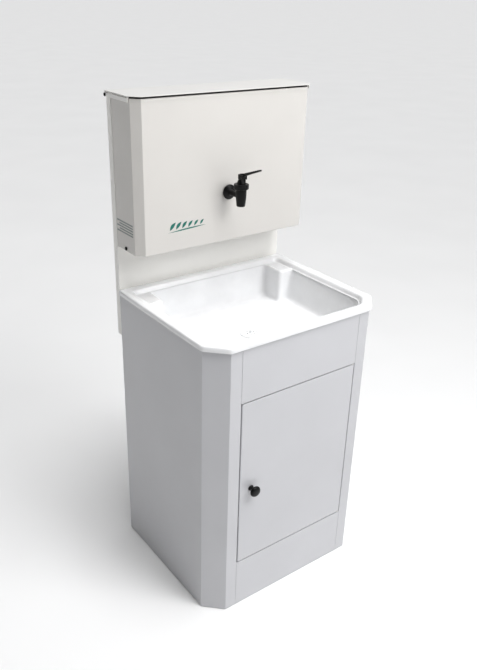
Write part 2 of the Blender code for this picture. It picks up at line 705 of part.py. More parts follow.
def tap():
    """A self-closing tap: pressing the lever lifts the stem and its cup off the seat; a spring shuts it."""
    axis = (0, TAP_Y, 0)
    port = (0, TANK_FRONT_Y, TAP_PORT_Z)
    black = LOOKS["black_plastic"]
    bore = 0.0072

    barrel = [
        (0, SPOUT_BOTTOM), (0.0098, SPOUT_BOTTOM), (0.0102, SPOUT_BOTTOM + 0.001), (0.0122, 0.962),
        (0.0126, 0.970), (0.0126, BARREL_TOP), (0, BARREL_TOP),
    ]
    body = add("tap_body", turned(barrel, 20, axis), black)
    arm = [
        (0, 0.0225), (0.0060, 0.0225), (0.0060, -0.0018), (0.0170, -0.0018), (0.0180, -0.0030),
        (0.0176, -0.0050), (0.0080, -0.0080), (0.0066, -0.0120), (0.0066, -0.0440), (0, -0.0440),
    ]
    join(body, turned(arm, 20, port, "Y", 0.04), "arm")
    cut(body, rod(bore, SEAT_Z, BARREL_TOP + 0.01, 24, axis, "Z", 0.05), "chamber")
    cut(body, rod(0.0046, SPOUT_BOTTOM - 0.01, SEAT_Z + 0.001, 20, axis, "Z", 0.03), "outlet")
    cut(body, rod(0.0036, -0.0475, 0.0300, 16, port, "Y", 0.09), "inlet")

    add("tap_gasket", tube(0.0125, 0.0064, -0.0015, -GAP, 24, port, "Y"), LOOKS["rubber"])
    washer = tube(0.0120, 0.0064, SHEET + GAP, SHEET + 0.0022, 24, port, "Y")
    add("tap_inner_washer", washer, LOOKS["rubber"])
    nut = add("tap_lock_nut", tube(0.0115, 0.0064, SHEET + 0.0026, SHEET + 0.0096, 6, port, "Y"), black)
    round_nut = rod(0.0064, -0.01, 0.03, 24, port, "Y")
    cut(nut, round_nut, "thread")

    collar_profile = [
        (0.0130, 0.9835), (0.0165, 0.9835), (0.0175, 0.9845), (0.0175, COLLAR_TOP - 0.0012),
        (0.0163, COLLAR_TOP), (0.0108, COLLAR_TOP), (0.0108, COLLAR_TOP - 0.0020),
        (0.0130, COLLAR_TOP - 0.0020),
    ]
    collar = add("tap_collar", turned(collar_profile, 24, axis), black)
    for k, (x, y) in enumerate(ring_points(0.0188, 8)):
        cut(collar, rod(0.0022, 0.97, 1.01, 6, (x, TAP_Y + y, 0)), f"grip_{k}")

    bonnet_profile = [
        (0.0021, BARREL_TOP + GAP), (0.0124, BARREL_TOP + GAP), (0.0124, COLLAR_TOP - 0.0023),
        (0.0104, COLLAR_TOP - 0.0023), (0.0104, COLLAR_TOP + 0.0010), (0.0076, BONNET_TOP - 0.0014),
        (0.0070, BONNET_TOP - 0.0006), (0.0021, BONNET_TOP - 0.0006),
    ]
    bonnet = add("tap_bonnet", turned(bonnet_profile, 20, axis), black)
    ear = [(LEVER_PIVOT_Y + y, LEVER_PIVOT_Z + z) for y, z in ring_points(EAR_R, 16)[:9]]
    ear += [(LEVER_PIVOT_Y - EAR_R, COLLAR_TOP + 0.0015), (LEVER_PIVOT_Y + EAR_R, COLLAR_TOP + 0.0015)]
    for tag, sign in SIDES:
        sides = sorted((sign * 0.0034, sign * 0.0056))
        join(bonnet, side_prism(ear, *sides), f"ear_{tag}")
    pivot = (0, LEVER_PIVOT_Y, LEVER_PIVOT_Z)
    cut(bonnet, rod(0.0014, -0.02, 0.02, 14, pivot, "X"), "pin_hole")
    add("tap_lever_pin", rod(0.0011, -0.0056, 0.0056, 14, pivot, "X"), LOOKS["zinc"])

    tap_lever(pivot, black)
    cap_low = LEVER_PIVOT_Z + 0.0022
    stem_profile = [
        (0, SEAT_Z + 0.0012), (0.0030, SEAT_Z + 0.0012), (0.0030, SEAT_Z + 0.0030),
        (STEM_R, SEAT_Z + 0.0036), (STEM_R, cap_low), (0.0034, cap_low), (0.0034, cap_low + 0.0016),
        (0.0022, cap_low + 0.0028), (0, cap_low + 0.0030),
    ]
    add("tap_stem", turned(stem_profile, 16, axis), black)
    cup_profile = [
        (0.0019, SEAT_Z + 0.0150), (0.0019, SEAT_Z + 0.0039), (0.0033, SEAT_Z + 0.0033),
        (0.0033, SEAT_Z + GAP), (0.0062, SEAT_Z + GAP), (0.0066, SEAT_Z + 0.0050),
        (0.0062, SEAT_Z + 0.0150),
    ]
    add("tap_seat_cup", turned(cup_profile, 20, axis), LOOKS["silicone"])
    tap_spring(SEAT_Z + 0.0153, BARREL_TOP)


def tap_lever(pivot, look):
    """A bar with a forked heel under the stem's cap, a hood over the ears and an arm towards the user."""
    heel_thick = 0.0017
    root_half = 0.0034
    tip_half = 0.0019
    slope = Vector((-math.cos(LEVER_RISE), math.sin(LEVER_RISE)))
    up = Vector((math.sin(LEVER_RISE), math.cos(LEVER_RISE)))
    centre = Vector((pivot[1], pivot[2]))
    root = centre + Vector((-0.0020, 0.0068))
    tip = root + slope * LEVER_LENGTH
    heel = centre + Vector((0.0062, 0.0))
    tip_end = [
        tuple(tip + up * tip_half - slope * 0.0015),
        tuple(tip + slope * 0.0006),
        tuple(tip - up * tip_half - slope * 0.0010),
    ]
    outline = [
        (heel.x, heel.y - heel_thick),
        (heel.x, heel.y + heel_thick),
        (centre.x + 0.0016, centre.y + heel_thick),
        (centre.x + 0.0016, centre.y + 0.0064),
        (centre.x + 0.0090, centre.y + 0.0064),
        (centre.x + 0.0090, centre.y + 0.0080),
        tuple(root + up * root_half),
        *tip_end,
        tuple(root - up * root_half + slope * 0.0040),
        (centre.x - 0.0045, centre.y - 0.0026),
        (centre.x + 0.0012, centre.y - 0.0026),
    ]
    lever = add("tap_lever", side_prism(outline, -0.0030, 0.0030), look)
    blade_start = root + slope * 0.012
    blade = [tuple(blade_start + up * 0.0029), *tip_end, tuple(blade_start - up * 0.0029)]
    join(lever, side_prism(blade, -0.0048, 0.0048), "blade")
    side = LEVER_HOOD_HALF
    inner = side - 0.0008
    front = centre.x - 0.0060
    top = centre.y + 0.0070
    under = top - 0.0012
    low = centre.y - 0.0036
    hood = [
        (-side, low), (-inner, low), (-inner, under), (inner, under), (inner, low), (side, low), (side, top),
        (-side, top),
    ]
    join(lever, lengthwise(hood, front, centre.x + 0.0105), "hood")
    apron_low = (-inner - 0.0004, front + 0.0001, centre.y - 0.0010)
    apron_high = (inner + 0.0004, front + 0.0014, under + 0.0004)
    join(lever, box(apron_low, apron_high), "apron")
    cut(lever, rod(0.0014, -0.02, 0.02, 14, pivot, "X"), "pin_hole")
    slot_low = (-STEM_R - 0.0004, TAP_Y - 0.0030, pivot[2] - 0.01)
    slot_high = (STEM_R + 0.0004, TAP_Y + 0.0100, pivot[2] + 0.0050)
    cut(lever, box(slot_low, slot_high), "fork")
    return lever


def tap_spring(low, high):
    """A coil of round wire between the cup and the bonnet."""
    wire = 0.00045
    radius = 0.0046
    turns = 5
    per_turn = 10
    total = turns * per_turn
    spline_curve = bpy.data.curves.new("tap_spring", "CURVE")
    spline_curve.dimensions = "3D"
    spline_curve.bevel_depth = wire
    spline_curve.bevel_resolution = 1
    spline_curve.use_fill_caps = True
    spline = spline_curve.splines.new("POLY")
    spline.points.add(total)
    start = low + wire + GAP
    rise = high - low - 2 * (wire + GAP)
    for k in range(total + 1):
        angle = math.tau * k / per_turn
        x = radius * math.cos(angle)
        y = TAP_Y + radius * math.sin(angle)
        spline.points[k].co = (x, y, start + rise * k / total, 1.0)
    spring = bpy.data.objects.new("tap_spring", spline_curve)
    spline_curve.materials.append(LOOKS["zinc"])
    bpy.context.scene.collection.objects.link(spring)


def place_origins():
    """Moves each turning piece's origin onto its joint's axis, without moving the piece."""
    hinges = {
        "door_panel": (HINGE_X, HINGE_Y, DOOR_BOTTOM),
        "tank_lid": (0, LID_PIVOT_Y, LID_PIVOT_Z),
        "tap_lever": (0, LEVER_PIVOT_Y, LEVER_PIVOT_Z),
        "tap_stem": (0, TAP_Y, SEAT_Z),
    }
    for name, pivot in hinges.items():
        obj = bpy.data.objects[name]
        obj.data.transform(Matrix.Translation(-Vector(pivot)))
        obj.location = pivot
    for name in ("door_knob", "knob_screw", "strike_plate"):
        piece = bpy.data.objects[name]
        piece.parent = bpy.data.objects["door_panel"]
        piece.matrix_parent_inverse = Matrix.Translation(-Vector(hinges["door_panel"]))
    cup = bpy.data.objects["tap_seat_cup"]
    cup.parent = bpy.data.objects["tap_stem"]
    cup.matrix_parent_inverse = Matrix.Translation(-Vector(hinges["tap_stem"]))


clear_scene()
LOOKS = {
    "white_steel": material("white_steel", (0.80, 0.79, 0.77), 0.38),
    "gloss_white": material("gloss_white", (0.90, 0.92, 0.94), 0.16),
    "black_plastic": material("black_plastic", (0.012, 0.012, 0.013), 0.42),
    "zinc": material("zinc", (0.62, 0.63, 0.65), 0.34, 1.0),
    "rubber": material("rubber", (0.03, 0.03, 0.03), 0.75),
    "silicone": material("silicone", (0.75, 0.74, 0.70), 0.5),
    "nylon": material("nylon", (0.82, 0.81, 0.76), 0.45),
}
side_panel("left_side_panel", -1)
side_panel("right_side_panel", 1)
front_rail("upper", UPPER_RAIL_Z, CABINET_HEIGHT, UPPER_RAIL_Z, UPPER_RETURN, RAIL_SCREW_LEVELS["high"])
front_rail("lower", 0.0, LOWER_RAIL_Z, LOWER_RAIL_Z, RAIL_RETURN, RAIL_SCREW_LEVELS["low"])
rear_rail()
back_panel()
basin()
drain()
door()
door_pins()
magnet_catch()
rear_screws()
tank()
lid()
tap()
place_origins()
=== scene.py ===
"""The looks of the portable handwash sink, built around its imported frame.

Metres, +Z up, the user on the -Y side.
"""

import json
import math

import bmesh
import bpy
from mathutils import Matrix, Vector


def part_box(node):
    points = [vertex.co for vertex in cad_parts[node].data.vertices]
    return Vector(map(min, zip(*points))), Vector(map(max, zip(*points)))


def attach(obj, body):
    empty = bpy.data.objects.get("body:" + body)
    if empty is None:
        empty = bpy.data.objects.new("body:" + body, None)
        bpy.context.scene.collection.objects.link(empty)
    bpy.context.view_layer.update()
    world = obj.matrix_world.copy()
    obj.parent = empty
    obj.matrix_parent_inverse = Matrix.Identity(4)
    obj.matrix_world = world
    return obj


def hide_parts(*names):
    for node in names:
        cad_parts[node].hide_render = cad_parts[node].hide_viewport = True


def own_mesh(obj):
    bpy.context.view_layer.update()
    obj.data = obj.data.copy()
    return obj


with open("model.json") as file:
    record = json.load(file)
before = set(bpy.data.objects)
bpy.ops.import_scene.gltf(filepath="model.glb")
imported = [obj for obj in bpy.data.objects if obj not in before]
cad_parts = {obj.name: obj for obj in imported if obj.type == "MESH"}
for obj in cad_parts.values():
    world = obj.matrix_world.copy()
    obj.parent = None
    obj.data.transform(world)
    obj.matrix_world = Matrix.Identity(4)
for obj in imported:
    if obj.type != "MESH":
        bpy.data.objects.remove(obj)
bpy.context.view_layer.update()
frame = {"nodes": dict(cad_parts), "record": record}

BOX = {name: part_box(name) for name in frame["nodes"]}
BODY = {
    name: body
    for body, members in frame["record"]["behaviour"]["bodies"].items()
    for name in members
}
SLOT = {part["node"]: part["material_slot"] for part in frame["record"]["subparts"]}

# Bent sheet: the radii of a fold, and how much of a narrow face its eased edges may take.
SHEET = 0.001
FOLD_INSIDE = 0.0010
FOLD_OUTSIDE = FOLD_INSIDE + SHEET
NARROW_SHARE = 0.3
FOLD_SEGMENTS = 4
FOLD_TURN = math.radians(30)

# Small solids: the turn from which an edge is eased, and the segments of the easing.
EDGE_TURN = 25
EDGE_SEGMENTS = 2

# Points this close are one point, and faces this near to level are one face.
MERGE = 0.000002
FLAT_TURN = math.radians(0.5)

# Levels and places shared by the basin, drain, knob, plug, pins and tap.
RIM_TOP = 0.735
RIM_WIDTH = 0.024
SKIRT_BOTTOM = 0.722
BASIN_WALL = 0.003
BASIN_HALF = 0.250
BASIN_FRONT = BOX["basin"][0][1]
BASIN_REAR = BOX["basin"][1][1]
BASIN_CHAMFER = 0.046
BOWL_FLOOR = 0.640
LEDGE_Z = 0.7250
LEDGE_FRONT_Y = 0.108
LEDGE_INNER_X = 0.180
DRAIN_Y = -0.003
DRAIN_Z = 0.6350
DRAIN_HOLE_R = 0.0175
CORNER_STEPS = 9
TURNED_SIDES = 64

# How fast the basin's front corners shorten as its plan is set in, and how much shorter the bowl's are.
RIM_CORNER_LOSS = 0.586
BOWL_CORNER_LOSS = 0.4
BOWL_CORNER_LESS = 0.014

# The most that a rounded corner takes of the lines beside it.
CORNER_SHARE = 0.45

CABINET_HALF = 0.245
FRONT_Y = BOX["door_panel"][0][1]
KNOB_AT = (-0.136, FRONT_Y, 0.350)
PLUG_AT = (-CABINET_HALF, 0.159, 0.8525)
LID_PIVOT = (0.250, 0.2185, 1.1865)
TANK_FRONT_Y = 0.1007
TAP_AXIS = (0, 0.0507, 0)
TAP_PORT = (0, TANK_FRONT_Y, 0.966)
COLLAR_TOP = 0.9955
GAP = 0.0003

# Printed marks: the film's height, the row of leaves on the tank's front and the rules on its left side.
INK = 0.00012
LEAF_COUNT = 6
LEAF_PITCH = 0.0165
RULE_COUNT = 5
RULE_PITCH = 0.0062
RULE_HEIGHT = 0.0036

FLOOR_RADIUS = 400
CAMERA_PLACE = (-0.9924, -1.2709, 1.4153)
CAMERA_TURN_TILT_ROLL = (37.013, -26.009, 1.621)
CAMERA_LENS = 39.04


# ---- Materials


class Nodes:
    """A material's node tree, with one short call for each kind of node that the looks share."""

    def __init__(self, name):
        self.material = bpy.data.materials.new(name)
        self.material.use_nodes = True
        self.tree = self.material.node_tree
        self.shader = self.tree.nodes["Principled BSDF"]
        self.place = self.tree.nodes.new("ShaderNodeTexCoord").outputs["Object"]

    def link(self, source, target):
        self.tree.links.new(source, target)

    def noise(self, scale, detail=3.0, stretch=(1, 1, 1)):
        """Noise with features about 1/scale metres across."""
        mapping = self.tree.nodes.new("ShaderNodeMapping")
        mapping.inputs["Scale"].default_value = stretch
        self.link(self.place, mapping.inputs["Vector"])
        texture = self.tree.nodes.new("ShaderNodeTexNoise")
        texture.inputs["Scale"].default_value = scale
        texture.inputs["Detail"].default_value = detail
        self.link(mapping.outputs["Vector"], texture.inputs["Vector"])
        return texture.outputs["Fac"]

    def ramp(self, source, stops):
        """Colours at places along 0 to 1."""
        node = self.tree.nodes.new("ShaderNodeValToRGB")
        elements = node.color_ramp.elements
        while len(elements) < len(stops):
            elements.new(0.5)
        for element, (place, color) in zip(elements, stops):
            element.position = place
            element.color = (*color, 1)
        self.link(source, node.inputs["Fac"])
        return node.outputs["Color"]

    def spread(self, source, low, high, start=0.3, end=0.7):
        """A value from low to high as the source goes from start to end."""
        node = self.tree.nodes.new("ShaderNodeMapRange")
        for socket, value in (("From Min", start), ("From Max", end), ("To Min", low), ("To Max", high)):
            node.inputs[socket].default_value = value
        self.link(source, node.inputs["Value"])
        return node.outputs["Result"]

    def bump(self, source, distance, under=None):
        """Raises the surface by up to a distance, over another bump if there is one."""
        node = self.tree.nodes.new("ShaderNodeBump")
        node.inputs["Distance"].default_value = distance
        self.link(source, node.inputs["Height"])
        if under:
            self.link(under, node.inputs["Normal"])
        return node.outputs["Normal"]

    def set(self, **values):
        """Uniform values on the shader's own sockets: coat_weight sets Coat Weight."""
        for key, value in values.items():
            self.shader.inputs[key.replace("_", " ").title().replace("Ior", "IOR")].default_value = value

    def feed(self, **sources):
        for key, source in sources.items():
            self.link(source, self.shader.inputs[key.replace("_", " ").title()])


def shade(color, factor):
    return tuple(channel * factor for channel in color)


def powder_coat(name, color, wave):
    """Semi-gloss powder coat on thin sheet: fine orange peel, slight waves and a faintly uneven tone."""
    nodes = Nodes(name)
    tone = nodes.noise(5.0, 4.0)
    nodes.feed(base_color=nodes.ramp(tone, ((0.30, shade(color, 0.955)), (0.70, color))))
    nodes.feed(roughness=nodes.spread(nodes.noise(9.0, 1.0), 0.28, 0.33))
    sheet = nodes.bump(nodes.noise(4.5, 1.0), wave)
    peel = nodes.bump(nodes.noise(420.0, 2.0), 0.000012, sheet)
    nodes.feed(normal=peel)
    nodes.set(ior=1.5, coat_weight=0.25, coat_roughness=0.12)
    return nodes.material


def moulded(name, color, gloss, grain, depth, coat=0.0, specular=0.5):
    """Moulded plastic: a fine texture, with a gloss and tone that vary a little."""
    nodes = Nodes(name)
    tone = nodes.noise(16.0, 4.0)
    nodes.feed(base_color=nodes.ramp(tone, ((0.32, shade(color, 0.93)), (0.68, color))))
    nodes.feed(roughness=nodes.spread(nodes.noise(60.0, 3.0), gloss, gloss + 0.09))
    nodes.feed(normal=nodes.bump(nodes.noise(grain, 3.0), depth))
    nodes.set(ior=1.5, specular_ior_level=specular, coat_weight=coat, coat_roughness=0.05)
    return nodes.material


def zinc_plate(name):
    """Bright zinc plate: a bluish grey with fine rolling lines and cloudy gloss."""
    nodes = Nodes(name)
    cloud = nodes.noise(70.0, 5.0)
    nodes.feed(base_color=nodes.ramp(cloud, ((0.3, (0.50, 0.52, 0.54)), (0.7, (0.70, 0.71, 0.73)))))
    nodes.feed(roughness=nodes.spread(cloud, 0.24, 0.42))
    nodes.feed(normal=nodes.bump(nodes.noise(900.0, 2.0, (1, 1, 0.08)), 0.00003))
    nodes.set(metallic=1.0)
    return nodes.material


def rubber(name, color):
    nodes = Nodes(name)
    dust = nodes.noise(120.0, 5.0)
    nodes.feed(base_color=nodes.ramp(dust, ((0.35, color), (0.75, shade(color, 1.7)))))
    nodes.feed(roughness=nodes.spread(dust, 0.62, 0.80))
    nodes.feed(normal=nodes.bump(nodes.noise(1500.0, 2.0), 0.00004))
    return nodes.material


def printed(name, color):
    """Screen-printed ink: slightly uneven cover and a duller gloss than the coat under it."""
    nodes = Nodes(name)
    cover = nodes.noise(650.0, 3.0)
    nodes.feed(base_color=nodes.ramp(cover, ((0.25, shade(color, 1.5)), (0.60, color))))
    nodes.feed(roughness=nodes.spread(cover, 0.38, 0.52))
    nodes.feed(normal=nodes.bump(cover, 0.00002))
    return nodes.material


def pale_floor(name):
    nodes = Nodes(name)
    cloud = nodes.noise(2.0, 2.0)
    nodes.feed(base_color=nodes.ramp(cloud, ((0.3, (0.88, 0.88, 0.88)), (0.7, (0.90, 0.90, 0.90)))))
    nodes.set(roughness=0.9, specular_ior_level=0.1)
    return nodes.material


LOOKS = {
    # The cabinet, back panel, tank and lid wear one white powder coat, given here in four tones that paint
    # light and shade: the cabinet's is grey as painted shade for its shaded sides, the tank's darker than its
    # lid's as painted shade, and the back panel's and lid's near white as painted light from the basin below
    # and from above.
    "cabinet_paint": powder_coat("cabinet_paint", (0.58, 0.582, 0.605), 0.0010),
    "panel_paint": powder_coat("panel_paint", (0.93, 0.92, 0.885), 0.0008),
    "tank_paint": powder_coat("tank_paint", (0.68, 0.66, 0.63), 0.0008),
    "lid_paint": powder_coat("lid_paint", (0.93, 0.92, 0.89), 0.0004),
    "basin_plastic": moulded("basin_plastic", (0.90, 0.905, 0.915), 0.16, 300.0, 0.00001, 0.3),
    "black_plastic": moulded("black_plastic", (0.0022, 0.0022, 0.0024), 0.34, 1400.0, 0.00003, 0.0, 0.22),
    "zinc_steel": zinc_plate("zinc_steel"),
    "rubber_seal": rubber("rubber_seal", (0.018, 0.018, 0.019)),
    "silicone_cup": moulded("silicone_cup", (0.72, 0.71, 0.66), 0.30, 900.0, 0.00003),
    "nylon": moulded("nylon", (0.78, 0.77, 0.71), 0.34, 900.0, 0.00004),
}
TEAL_INK = printed("teal_ink", (0.003, 0.135, 0.105))
GREY_INK = printed("grey_ink", (0.20, 0.23, 0.22))


# ---- Pieces


def add_piece(name, mesh, look, body, replaced=(), sharp=30):
    """A mesh becomes a piece that rides on a body and stands for the CAD nodes it replaces."""
    mesh.materials.clear()
    mesh.materials.append(look)
    mesh.shade_smooth()
    mesh.set_sharp_from_angle(angle=math.radians(sharp))
    piece = bpy.data.objects.new(name, mesh)
    bpy.context.scene.collection.objects.link(piece)
    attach(piece, body)
    if replaced:
        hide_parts(*replaced)
    return piece


def mesh_of(name, bm):
    mesh = bpy.data.meshes.new(name)
    bm.to_mesh(mesh)
    bm.free()
    return mesh


def stands_for(node, mesh, look=None, sharp=35):
    """The mesh takes the place of one CAD node, with its body and slot."""
    return add_piece(mesh.name, mesh, look or LOOKS[SLOT[node]], BODY[node], (node,), sharp)


def node_shape(node):
    """A CAD node's own shape, its triangles merged back into flat faces."""
    bm = bmesh.new()
    bm.from_mesh(frame["nodes"][node].data)
    bmesh.ops.remove_doubles(bm, verts=bm.verts, dist=MERGE)
    bmesh.ops.dissolve_limit(bm, angle_limit=FLAT_TURN, verts=bm.verts, edges=bm.edges, delimit=set())
    return bm


def flatten(piece):
    """Shades the large faces flat and leaves the turn of the normals to the narrow faces of the bevels."""
    flat = piece.modifiers.new("flat", "WEIGHTED_NORMAL")
    flat.mode = "FACE_AREA"
    flat.weight = 100
    flat.keep_sharp = True


def face_width(face):
    """About how wide a long, thin face is."""
    return 2 * face.calc_area() / face.calc_perimeter()


def eased_copy(node, radius):
    """Stands for a small solid: its own shape with every sharp edge eased by a bevel."""
    mesh = mesh_of(node + "_eased", node_shape(node))
    piece = stands_for(node, mesh, sharp=EDGE_TURN)
    bevel = piece.modifiers.new("edges", "BEVEL")
    bevel.width = radius
    bevel.segments = EDGE_SEGMENTS
    bevel.limit_method = "ANGLE"
    bevel.angle_limit = math.radians(EDGE_TURN)
    flatten(piece)


def bent_sheet(node, look):
    """Stands for a node of bent sheet: its shape with folds at their bend radius and its cut edges eased."""
    bm = node_shape(node)
    bmesh.ops.connect_verts_concave(bm, faces=bm.faces)
    weight = bm.edges.layers.float.new("bevel_weight_edge")
    for edge in bm.edges:
        turn = edge.calc_face_angle_signed(0.0)
        if abs(turn) < FOLD_TURN:
            continue
        radius = FOLD_OUTSIDE if turn > 0 else FOLD_INSIDE
        room = min(face_width(face) for face in edge.link_faces) * NARROW_SHARE
        edge[weight] = min(radius * math.tan(abs(turn) / 2), room) / FOLD_OUTSIDE
    piece = stands_for(node, mesh_of(node + "_sheet", bm), look, 50)
    bevel = piece.modifiers.new("folds", "BEVEL")
    bevel.width = FOLD_OUTSIDE
    bevel.segments = FOLD_SEGMENTS
    bevel.limit_method = "WEIGHT"
    bevel.use_clamp_overlap = False
    flatten(piece)


def eased(points, reach, steps=2, closed=False):
    """A chain of points with each corner rounded by a curve that starts at most one reach from it."""
    chain = [Vector(point) for point in points]
    count = len(chain)
    result = []
    for k, here in enumerate(chain):
        if not closed and k in (0, count - 1):
            result.append(here)
            continue
        before = chain[k - 1] - here
        after = chain[(k + 1) % count] - here
        start = here + before.normalized() * min(reach, before.length * CORNER_SHARE)
        end = here + after.normalized() * min(reach, after.length * CORNER_SHARE)
        for step in range(steps + 1):
            t = step / steps
            result.append(start * (1 - t) ** 2 + here * (2 * t * (1 - t)) + end * t**2)
    return result


def lathe(profile, at=(0, 0, 0), along="Z", reach=0.0006, closed=False):
    """A profile of (radius, height) with eased corners, turned about an axis through a point."""
    bm = bmesh.new()
    rings = []
    for radius, height in eased(profile, reach, 2, closed):
        if radius < 1e-6:
            rings.append([bm.verts.new((0, 0, height))])
            continue
        turns = [math.tau * k / TURNED_SIDES for k in range(TURNED_SIDES)]
        rings.append([bm.verts.new((radius * math.cos(t), radius * math.sin(t), height)) for t in turns])
    pairs = list(zip(rings, rings[1:]))
    if closed:
        pairs.append((rings[-1], rings[0]))
    for low, high in pairs:
        for k in range(TURNED_SIDES):
            after = (k + 1) % TURNED_SIDES
            corners = [low[k % len(low)], low[after % len(low)], high[after % len(high)], high[k % len(high)]]
            bm.faces.new(list(dict.fromkeys(corners)))
    bmesh.ops.recalc_face_normals(bm, faces=bm.faces)
    turn = {
        "X": Matrix.Rotation(math.radians(90), 4, "Y"), "Y": Matrix.Rotation(math.radians(-90), 4, "X"),
        "Z": Matrix.Identity(4),
    }[along]
    bm.transform(Matrix.Translation(at) @ turn)
    return bm


def rod(radius, low, high, at=(0, 0, 0), along="Z"):
    return lathe([(0, low), (radius, low), (radius, high), (0, high)], at, along, 0.00001)


def ring_points(radius, count, phase=0.0):
    turns = [phase + math.tau * k / count for k in range(count)]
    return [(radius * math.cos(turn), radius * math.sin(turn)) for turn in turns]


def carved(name, base, steps):
    """One mesh: a shape with others joined to it (UNION) or cut from it (DIFFERENCE)."""
    stands = []
    for bm in [base] + [bm for _, bm in steps]:
        stand = bpy.data.objects.new("step", mesh_of("step", bm))
        bpy.context.scene.collection.objects.link(stand)
        stands.append(stand)
    for (operation, _), tool in zip(steps, stands[1:]):
        modifier = stands[0].modifiers.new("step", "BOOLEAN")
        modifier.operation = operation
        modifier.solver = "EXACT"
        modifier.object = tool
    graph = bpy.context.evaluated_depsgraph_get()
    mesh = bpy.data.meshes.new_from_object(stands[0].evaluated_get(graph))
    mesh.name = name
    for stand in stands:
        bpy.data.objects.remove(stand)
    return mesh


def corner_loop(corners, height):
    """A closed loop of points: each corner (x, y, reach) is rounded by a curve that starts at its reach."""
    points = []
    count = len(corners)
    for k, (x, y, reach) in enumerate(corners):
        here = Vector((x, y))
        before = Vector(corners[k - 1][:2])
        after = Vector(corners[(k + 1) % count][:2])
        start = here + (before - here).normalized() * reach
        end = here + (after - here).normalized() * reach
        for step in range(CORNER_STEPS + 1):
            t = step / CORNER_STEPS
            point = start * (1 - t) ** 2 + here * (2 * t * (1 - t)) + end * t**2
            points.append((point.x, point.y, height))
    return points


def basin_corners(half, front, rear, chamfer, soft, ledge=None):
    """The basin's plan at one height. With a ledge (inner x, front y), both rear corners are stepped in."""
    if ledge:
        inner_x, ledge_y = ledge
        rear_right = [(half, ledge_y, soft), (inner_x, ledge_y, 0.010), (inner_x, rear, soft)]
    else:
        small = min(soft, 0.006)
        rear_right = [
            (half, LEDGE_FRONT_Y + 0.002, small), (half, rear, soft), (LEDGE_INNER_X + 0.002, rear, small),
        ]
    right = [(half - chamfer, front, soft), (half, front + chamfer, soft)] + rear_right
    return right + [(-x, y, reach) for x, y, reach in reversed(right)]


def circle_loop(count, radius, height):
    """A circle round the drain, its points evenly spaced and starting on the same side as a plan loop's."""
    step = math.tau / count
    turns = [-math.pi / 2 + step * (k + 0.5) for k in range(count)]
    return [(radius * math.cos(t), DRAIN_Y + radius * math.sin(t), height) for t in turns]


def basin():
    """The moulding: a rolled rim, a bowl with a soap ledge in each rear corner, a floor with a drain hole."""
    wall = BASIN_WALL

    def rim(inset, height, soft=0.008):
        edge = BASIN_CHAMFER - RIM_CORNER_LOSS * inset
        plan = basin_corners(BASIN_HALF - inset, BASIN_FRONT + inset, BASIN_REAR - inset, edge, soft)
        return corner_loop(plan, height)

    def bowl(inset, height, soft=0.012, ledge=None):
        side = RIM_WIDTH + inset
        edge = BASIN_CHAMFER - BOWL_CORNER_LESS - BOWL_CORNER_LOSS * inset
        plan = basin_corners(BASIN_HALF - side, BASIN_FRONT + side, BASIN_REAR - side, edge, soft, ledge)
        return corner_loop(plan, height)

    def stepped(inset, height, grow=0.0, draft=0.0):
        return bowl(inset - grow, height, 0.012, (LEDGE_INNER_X - draft + grow, LEDGE_FRONT_Y - draft + grow))

    floor_edge = stepped(0.030, BOWL_FLOOR, 0.0, 0.012)
    count = len(floor_edge)
    loops = [
        circle_loop(count, DRAIN_HOLE_R, DRAIN_Z),
        circle_loop(count, 0.0270, DRAIN_Z),
        circle_loop(count, 0.0285, DRAIN_Z + 0.0016),
        circle_loop(count, 0.0600, DRAIN_Z + 0.0022),
        floor_edge,
        stepped(0.021, BOWL_FLOOR + 0.0035, 0.0, 0.008),
        stepped(0.017, BOWL_FLOOR + 0.0120, 0.0, 0.006),
        stepped(0.005, LEDGE_Z - 0.0040, 0.0, 0.001),
        stepped(0.0035, LEDGE_Z - 0.0008, 0.0, -0.001),
        stepped(0.0030, LEDGE_Z, 0.0, -0.004),
        bowl(0.0080, LEDGE_Z - 0.0020, 0.012),
        bowl(0.0050, LEDGE_Z - 0.0010, 0.013),
        bowl(0.0030, LEDGE_Z + 0.0030, 0.014),
        bowl(0.0005, RIM_TOP - 0.0020, 0.016),
        bowl(-0.0030, RIM_TOP, 0.018),
        rim(0.0040, RIM_TOP),
        rim(0.0012, RIM_TOP - 0.0012),
        rim(0.0, RIM_TOP - 0.0045),
        rim(0.0, SKIRT_BOTTOM),
        rim(0.0025, SKIRT_BOTTOM, 0.007),
        rim(0.0025, RIM_TOP - wall, 0.007),
        bowl(-wall, RIM_TOP - wall, 0.018),
        bowl(0.0030 - wall, LEDGE_Z - wall, 0.016),
        stepped(0.0030, LEDGE_Z - wall - 0.001, wall, -0.004),
        stepped(0.0050, LEDGE_Z - wall - 0.006, wall, 0.001),
        stepped(0.0170, BOWL_FLOOR + 0.0120 - wall, wall, 0.006),
        stepped(0.0230, BOWL_FLOOR - wall, wall, 0.010),
        circle_loop(count, 0.0600, DRAIN_Z + 0.0022 - wall),
        circle_loop(count, 0.0285, DRAIN_Z - wall),
        circle_loop(count, DRAIN_HOLE_R, DRAIN_Z - wall),
    ]
    bm = bmesh.new()
    ribs = [eased(rib, 0.006, 2, True) for rib in zip(*loops)]
    rings = [[bm.verts.new(point) for point in ring] for ring in zip(*ribs)]
    for low, high in zip(rings, rings[1:] + rings[:1]):
        for k in range(count):
            after = (k + 1) % count
            bm.faces.new((low[k], low[after], high[after], high[k]))
    bmesh.ops.recalc_face_normals(bm, faces=bm.faces)
    stands_for("basin", mesh_of("basin_moulding", bm))


